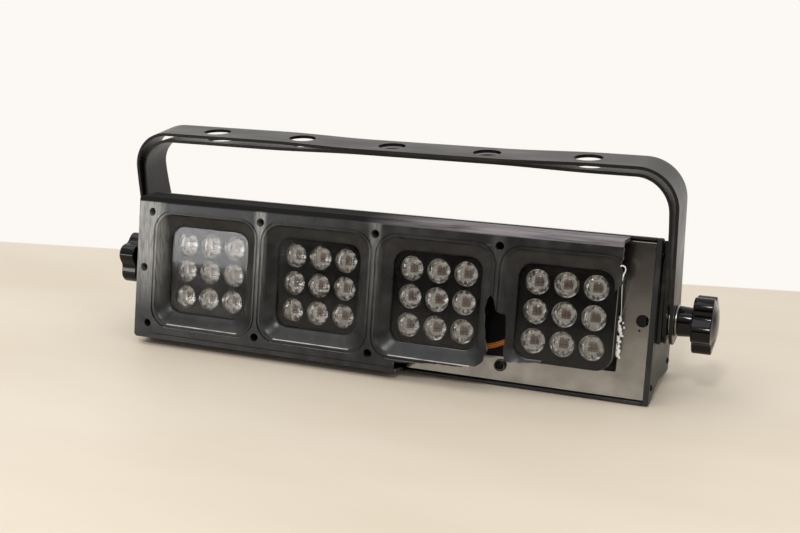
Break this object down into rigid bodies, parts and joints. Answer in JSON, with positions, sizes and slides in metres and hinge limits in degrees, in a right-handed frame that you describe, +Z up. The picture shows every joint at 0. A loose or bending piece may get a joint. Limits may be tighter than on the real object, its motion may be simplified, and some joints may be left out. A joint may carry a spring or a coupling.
{
  "type": "led wash light",
  "caption": "Stage wash light: long black housing, square pods of clear lenses behind a broken moulded bezel on bare metal, hung on two nested flat bails with star knobs.",
  "frame": {"origin": "on the table plane, under the middle of the whole in x and y", "axes": "+X along the housing to the viewer's right when looking at the lenses, +Y from the lenses to the back panel, +Z up"},
  "size_m": [0.5216, 0.1468, 0.1816],
  "materials": {
    "black_paint": "satin",
    "bail_paint": "satin",
    "black_plastic": "semi-gloss moulded",
    "holder_black": "matte",
    "knob_plastic": "gloss",
    "bare_steel": "bare, satin",
    "zinc_steel": "zinc plated",
    "black_anodised": "black anodised",
    "galvanised": "galvanised",
    "clear_lens": "clear acrylic",
    "clear_window": "clear, lightly hazed",
    "board_white": "white solder mask",
    "board_green": "green solder mask",
    "wire_orange": "orange insulation",
    "display_red": "dark red filter"
  },
  "bodies": {
    "housing": {"housing_shell": "black_paint", "front_plate": "bare_steel", "bezel": "black_plastic", "boss_stub": "black_plastic", "heat_sink": "black_anodised", "power_supply": "galvanised", "control_board": "board_green", "rear_panel": "black_paint", "power_inlet": "black_plastic", "fuse_holder": "black_plastic", "dmx_input": "zinc_steel", "dmx_output": "black_plastic", "display_window": "display_red", "display_board": "board_green", "safety_eye": "zinc_steel", "window_1": "clear_window", "lens_holder_1": "holder_black", "lens_array_1": "clear_lens", "led_board_1": "board_white", "board_link_1": "wire_orange", "window_2": "clear_window", "lens_holder_2": "holder_black", "lens_array_2": "clear_lens", "led_board_2": "board_white", "board_link_2": "wire_orange", "window_3": "clear_window", "lens_holder_3": "holder_black", "lens_array_3": "clear_lens", "led_board_3": "board_white", "board_link_3": "wire_orange", "window_4": "clear_window", "lens_holder_4": "holder_black", "lens_array_4": "clear_lens", "led_board_4": "board_white", "end_cap_left": "black_paint", "pivot_plate_left": "black_paint", "pivot_nut_left": "zinc_steel", "spacer_washer_left": "zinc_steel", "knob_washer_left": "zinc_steel", "end_cap_right": "black_paint", "pivot_plate_right": "black_paint", "pivot_nut_right": "zinc_steel", "spacer_washer_right": "zinc_steel", "knob_washer_right": "zinc_steel"},
    "outer_bail": {"outer_bail": "bail_paint"},
    "inner_bail": {"inner_bail": "bail_paint"},
    "knob_left": {"knob_left": "knob_plastic", "pivot_stud_left": "zinc_steel"},
    "knob_right": {"knob_right": "knob_plastic", "pivot_stud_right": "zinc_steel"},
    "button_1": {"button_1": "black_plastic"},
    "button_2": {"button_2": "black_plastic"},
    "button_3": {"button_3": "black_plastic"},
    "button_4": {"button_4": "black_plastic"}
  },
  "joints": [
    {"name": "outer_bail_swing", "type": "hinge", "parent": "housing", "child": "outer_bail", "pos_m": [0, -0.01326, 0.05922], "axis": [1, 0, 0], "range_deg": [-162.5, 137.5]},
    {"name": "inner_bail_swing", "type": "hinge", "parent": "housing", "child": "inner_bail", "pos_m": [0, -0.01326, 0.05922], "axis": [1, 0, 0], "range_deg": [-159.7, 140.3]},
    {"name": "knob_left_turn", "type": "hinge", "parent": "housing", "child": "knob_left", "pos_m": [0, -0.01326, 0.05922], "axis": [-1, 0, 0], "range_deg": [0, 360]},
    {"name": "knob_right_turn", "type": "hinge", "parent": "housing", "child": "knob_right", "pos_m": [0, -0.01326, 0.05922], "axis": [1, 0, 0], "range_deg": [0, 360]},
    {"name": "button_1_press", "type": "slide", "parent": "housing", "child": "button_1", "axis": [0, -0.9897, 0.143], "range_m": [0, 0.0008], "stiffness_N_per_m": 800, "springref_m": -0.0005},
    {"name": "button_2_press", "type": "slide", "parent": "housing", "child": "button_2", "axis": [0, -0.9897, 0.143], "range_m": [0, 0.0008], "stiffness_N_per_m": 800, "springref_m": -0.0005},
    {"name": "button_3_press", "type": "slide", "parent": "housing", "child": "button_3", "axis": [0, -0.9897, 0.143], "range_m": [0, 0.0008], "stiffness_N_per_m": 800, "springref_m": -0.0005},
    {"name": "button_4_press", "type": "slide", "parent": "housing", "child": "button_4", "axis": [0, -0.9897, 0.143], "range_m": [0, 0.0008], "stiffness_N_per_m": 800, "springref_m": -0.0005}
  ]
}
